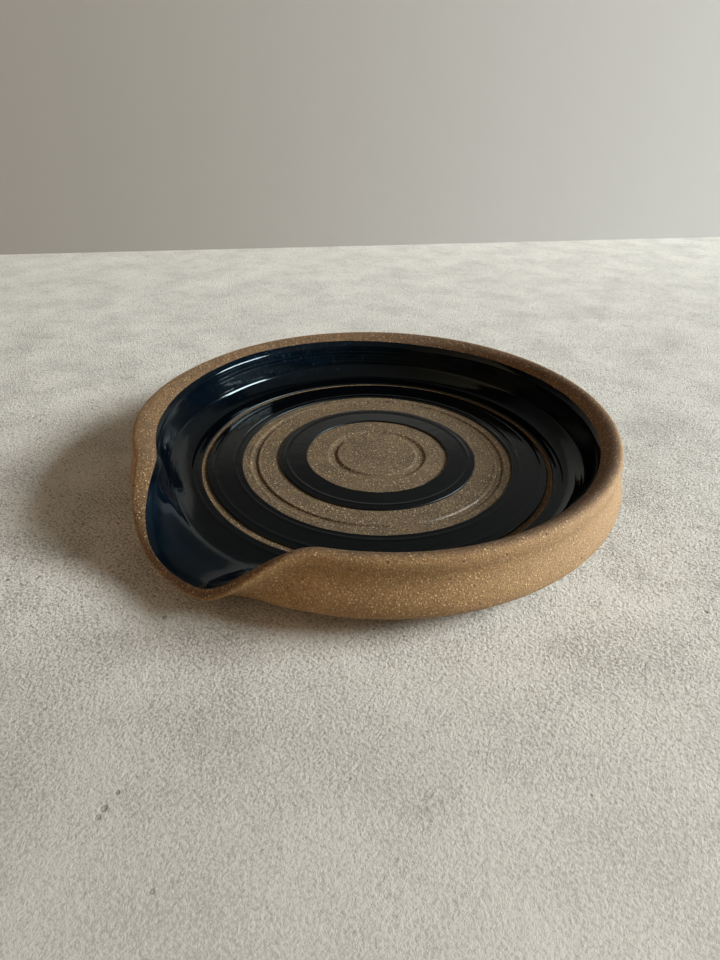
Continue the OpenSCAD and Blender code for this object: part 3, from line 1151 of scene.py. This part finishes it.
@dataclass(frozen=True)
class Viewpoint:
    """Where the photograph was taken from, in a table frame whose +Y runs away from the camera.

    Attributes:
        pitch: Downward tilt in degrees, and roll the turn about the view axis.
        dish_px: Where the middle of the dish's floor falls, at a distance along the view axis in millimetres.
        turn: Turn from the table frame to the pot's frame, in degrees.
        aside: How far the fitted middle lies to the right of the pot's, in millimetres.
    """

    focal_px: float = 593.4
    pitch: float = 32.86
    roll: float = 1.14
    dish_px: tuple[float, float] = (377.49, 454.09)
    distance: float = 163.53
    turn: float = 37.67
    frame_px: tuple[int, int] = (720, 960)
    floor_t: float = 5.0
    aside: float = 0.2
    sensor_mm: float = 36.0
    nearest: float = 0.005

    def to_pot(self, place: Sequence[float]) -> Vector:
        """Turns a direction or place of the table frame into the pot's frame."""
        return Matrix.Rotation(math.radians(self.turn), 3, "Z") @ Vector(place)

    @property
    def ahead(self) -> Vector:
        """Level direction away from the camera, in the pot's frame."""
        return self.to_pot((0.0, 1.0, 0.0))

    @property
    def right(self) -> Vector:
        """Level direction to the camera's right, in the pot's frame."""
        return self.to_pot((1.0, 0.0, 0.0))

    def camera(self) -> Object:
        """Makes the camera, its axes from pitch and roll, its place from where the dish falls in the frame.

        Returns:
            The camera.
        """
        pitch, roll = math.radians(self.pitch), math.radians(self.roll)
        ahead = Vector((0.0, math.cos(pitch), -math.sin(pitch)))
        level, above = Vector((1.0, 0.0, 0.0)), Vector((0.0, math.sin(pitch), math.cos(pitch)))
        right = math.cos(roll) * level + math.sin(roll) * above
        up = -math.sin(roll) * level + math.cos(roll) * above
        across = (self.dish_px[0] - self.frame_px[0] / 2) / self.focal_px
        rise = (self.frame_px[1] / 2 - self.dish_px[1]) / self.focal_px
        place = -(ahead + across * right + rise * up) * self.distance
        place += Vector((self.aside, 0.0, self.floor_t))
        axes = [self.to_pot(axis) for axis in (right, up, -ahead)]
        data = bpy.data.cameras.new("photo_camera")
        data.sensor_width = self.sensor_mm
        data.lens = self.focal_px / self.frame_px[1] * self.sensor_mm
        data.clip_start = self.nearest
        made = linked("photo_camera", data)
        made.matrix_world = Matrix.Translation(self.to_pot(place) * MM) @ Matrix(axes).transposed().to_4x4()
        bpy.context.scene.camera = made
        return made


@dataclass(frozen=True)
class StoneFinish:
    """Pale table top of rough, fine-grained stone with faint clouds, worn streaks, pores and small pits.

    Its ramps over a place run in metres from the dish away from the camera, and table_shade_right to the
    right.
    It is painted paler away from the camera as painted light, and darker at its front left as painted shade.
    """

    pale: Colour = linear(237, 234, 224)
    dark: Colour = linear(144, 140, 131)
    pit: Colour = linear(128, 120, 108)
    # Painted light: paler colour that the table takes on away from the camera.
    far: Colour = linear(236, 235, 228)
    cloud: Noise = Noise(22.0, 6.0, 0.65)
    fine: Noise = Noise(0.56, 3.0, 0.8)
    coarse: Noise = Noise(1.6, 4.0, 0.7)
    streak: Noise = Noise(7.0, 5.0, 0.7)
    pores: Grains = Grains(0.95, 0.5, 0.42)
    pits: Grains = Grains(5.0, 0.25, 0.1)
    cloud_share: float = 0.28
    tone: Ramp = Ramp(0.4, 0.55)
    middle_tone: float = 0.7
    crisp: Ramp = Ramp(-0.12, -0.02, 0.3, 1.0)
    far_light_share: Ramp = Ramp(-0.16, 0.2, 0.0, 0.4)
    # Painted shade: the table is darkened towards its front, most to the left.
    table_shade_right: Ramp = Ramp(-0.08, 0.07, 0.34, 0.17)
    table_shade_ahead: Ramp = Ramp(-0.09, -0.03, 1.0, 0.0)
    drawn: Triple = (3.0, 1.0, 1.0)
    worn: Ramp = Ramp(0.58, 0.76, 0.0, 0.4)
    pore_share: float = 0.5
    pit_share: float = 0.5
    pit_h: float = 0.8
    relief: Ramp = Ramp(-0.12, -0.02, 0.25, 1.0)
    relief_mm: float = 0.8
    rough: float = 0.7
    gloss: float = 0.35

    def material(self, view: Viewpoint) -> Material:
        """Builds the table's material.

        Args:
            view: Where the camera stands.

        Returns:
            The material.
        """
        made = bpy.data.materials.new("pale_stone")
        bench = NodeBench.on(made)
        place = bench.place()
        fine = bench.noise(place, self.fine)
        ahead, right = bench.along(place, view.ahead), bench.along(place, view.right)
        tone = bench.ramp(bench.weigh(bench.noise(place, self.cloud), fine, self.cloud_share), self.tone)
        crisp = bench.ramp(ahead, self.crisp)
        off = bench.times(bench.math("SUBTRACT", tone, self.middle_tone), crisp)
        colour = bench.blend(bench.math("ADD", self.middle_tone, off), self.dark, self.pale)
        # Painted light: the table is painted paler away from the camera.
        colour = bench.blend(bench.ramp(ahead, self.far_light_share), colour, self.far)
        # Painted shade: darker towards the front left of the table.
        painted_table_shade = bench.times(bench.ramp(right, self.table_shade_right), bench.ramp(ahead, self.table_shade_ahead))
        colour = bench.blend(painted_table_shade, colour, BLACK)
        stretch = {"Vector": place, "Rotation": (0.0, 0.0, math.radians(view.turn)), "Scale": self.drawn}
        streaks = bench.add("Mapping", stretch, vector_type="TEXTURE").outputs[0]
        colour = bench.blend(bench.ramp(bench.noise(streaks, self.streak), self.worn), colour, self.pit)
        pores, pits = (bench.grains(place, kind) for kind in (self.pores, self.pits))
        colour = bench.blend(bench.times(pores, bench.times(crisp, self.pore_share)), colour, self.pit)
        colour = bench.blend(bench.times(pits, self.pit_share), colour, self.pit)
        height = bench.plus(bench.math("ADD", fine, bench.noise(place, self.coarse)), pits, -self.pit_h)
        normal = bench.bump(height, bench.ramp(ahead, self.relief), self.relief_mm)
        bench.surface(colour, self.rough, self.gloss, {"Normal": normal})
        return made


@dataclass(frozen=True)
class PlasterFinish:
    """Plain grey backdrop, a little paler towards the window's side and dusky beyond it and higher up.

    Its ramps run in metres: across and beyond to the camera's right, those of above upwards.
    """

    left: Colour = linear(159, 155, 148)
    right: Colour = linear(193, 193, 191)
    across: Ramp = Ramp(-0.3, 0.3)
    beyond: Ramp = Ramp(0.31, 0.5, 0.0, 0.7)
    above: tuple[Ramp, ...] = (Ramp(0.15, 0.195, 0.0, 0.6), Ramp(0.34, 0.62, 0.0, 0.75))
    rough: float = 0.95

    def material(self, view: Viewpoint) -> Material:
        """Builds the backdrop's material for a camera."""
        made = bpy.data.materials.new("grey_plaster")
        bench = NodeBench.on(made)
        place = bench.place()
        right, level = bench.along(place, view.right), bench.along(place, UPWARD)
        colour = bench.blend(bench.ramp(right, self.across), self.left, self.right)
        colour = bench.blend(bench.ramp(right, self.beyond), colour, BLACK)
        for ramp in self.above:
            colour = bench.blend(bench.ramp(level, ramp), colour, BLACK)
        bench.surface(colour, self.rough, 0.0, {})
        return made


@dataclass(frozen=True)
class Studio:
    """Table top that ends at an edge, backdrop behind it, a soft window and a dim warm room.

    Attributes:
        edge_y: How far behind the dish the table ends. Lengths are in millimetres.
        room: Strength of the room's light, by how high it comes from.
        glow: Strength of the warm glow, by how far to the left it comes from.
        window_up: Elevation of the window in degrees.
    """

    view: Viewpoint
    edge_y: float = 291.4
    edge_turn: float = 11.92
    half: float = 1500.0
    room: Ramp = Ramp(0.2, 0.8, 0.26, 0.22)
    room_colour: Colour = (1.0, 0.84, 0.66, 1.0)
    glow: Ramp = Ramp(0.2, 1.0, 0.0, 0.85)
    glow_colour: Colour = (1.0, 0.6, 0.3, 1.0)
    window_up: float = 27.0
    window_far: float = 2600.0
    window_size: tuple[float, float] = (1270.0, 735.0)
    window_power: float = 126.0
    window_colour: Triple = (0.93, 0.98, 1.0)

    def build(self) -> None:
        """Makes the floor, the backdrop, the lights and the world."""
        h, y = self.half, self.edge_y
        floor = self.plane("table_top", [(-h, -h, 0), (h, -h, 0), (h, y, 0), (-h, y, 0)])
        floor.data.materials.append(StoneFinish().material(self.view))
        back = self.plane("backdrop", [(-h, y, h), (h, y, h), (h, y, -h), (-h, y, -h)])
        back.data.materials.append(PlasterFinish().material(self.view))
        self.window()
        self.dim_room()

    def plane(self, name: str, corners: Sequence[Sequence[float]]) -> Object:
        """One flat face through corners in millimetres, in the table frame turned along the table's edge."""
        mesh = bpy.data.meshes.new(name)
        turn = Matrix.Rotation(math.radians(self.edge_turn), 3, "Z")
        places = [tuple(self.view.to_pot(turn @ Vector(corner)) * MM) for corner in corners]
        mesh.from_pydata(places, [], [(0, 1, 2, 3)])
        return linked(name, mesh)

    def window(self) -> None:
        """Makes the soft rectangular light to the camera's right, which faces the dish."""
        data = bpy.data.lights.new("window", "AREA")
        data.shape = "RECTANGLE"
        data.size, data.size_y = self.window_size[0] * MM, self.window_size[1] * MM
        data.energy = self.window_power
        data.color = self.window_colour
        made = linked("window", data)
        up = math.radians(self.window_up)
        aim = self.view.to_pot((math.cos(up), 0.0, math.sin(up)))
        made.location = aim * self.window_far * MM
        made.rotation_euler = aim.to_track_quat("Z", "Y").to_euler()

    def dim_room(self) -> None:
        """Makes the rest of the room's light, darker overhead, with a warm glow from away from the window."""
        world = bpy.data.worlds.new("dim_room")
        bench = NodeBench.on(world)
        toward = bench.place("Generated")
        room = bench.ramp(bench.along(toward, UPWARD), self.room)
        glow = bench.ramp(bench.along(toward, -self.view.right), self.glow)
        even = bench.add("Background", {"Color": self.room_colour, "Strength": room})
        warm = bench.add("Background", {"Color": self.glow_colour, "Strength": glow})
        both = bench.add("AddShader", {0: even.outputs[0], 1: warm.outputs[0]})
        bench.add("OutputWorld", {0: both.outputs[0]})
        bpy.context.scene.world = world


def dress(piece: Object, node: str, material: Material) -> None:
    """Gives a piece its material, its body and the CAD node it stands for."""
    piece.data.materials.append(material)
    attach(piece, BODY)
    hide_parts(node)
    LOG.info("%s stands for %s", piece.name, node)


def corners(box: object) -> list[list[float]]:
    """A box as plain lists of numbers."""
    return [[float(value) for value in corner] for corner in box]


def main() -> None:
    """Builds every piece in order."""
    logging.basicConfig(level=logging.INFO, format="%(name)s: %(message)s")
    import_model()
    bpy.context.scene.view_settings.view_transform = "Standard"
    view = Viewpoint()
    view.camera()
    Studio(view).build()
    form = DishForm()
    clay, glaze = ClayFinish().material(), GlazeFinish().material()
    body = StonewareBody(form)
    dress(body.build(), "stoneware_body", clay)
    dress(GlazedWall(body, form=form).build(), "glaze_wall_and_spout", glaze)
    low, high = form.broad_ring[1], form.thin_ring[0]
    band = GlazedRing("glazed_floor_band", low, high, (low + RIDGE_IN, high - RIDGE_IN), form=form)
    dress(band.build(), "glaze_floor_band", glaze)
    low, high = form.disc_r, form.broad_ring[0]
    centre = GlazedRing("glazed_centre_ring", low, high, (high - RIDGE_IN,), form=form)
    dress(centre.build(), "glaze_centre_ring", glaze)


if __name__ == "__main__":
    main()
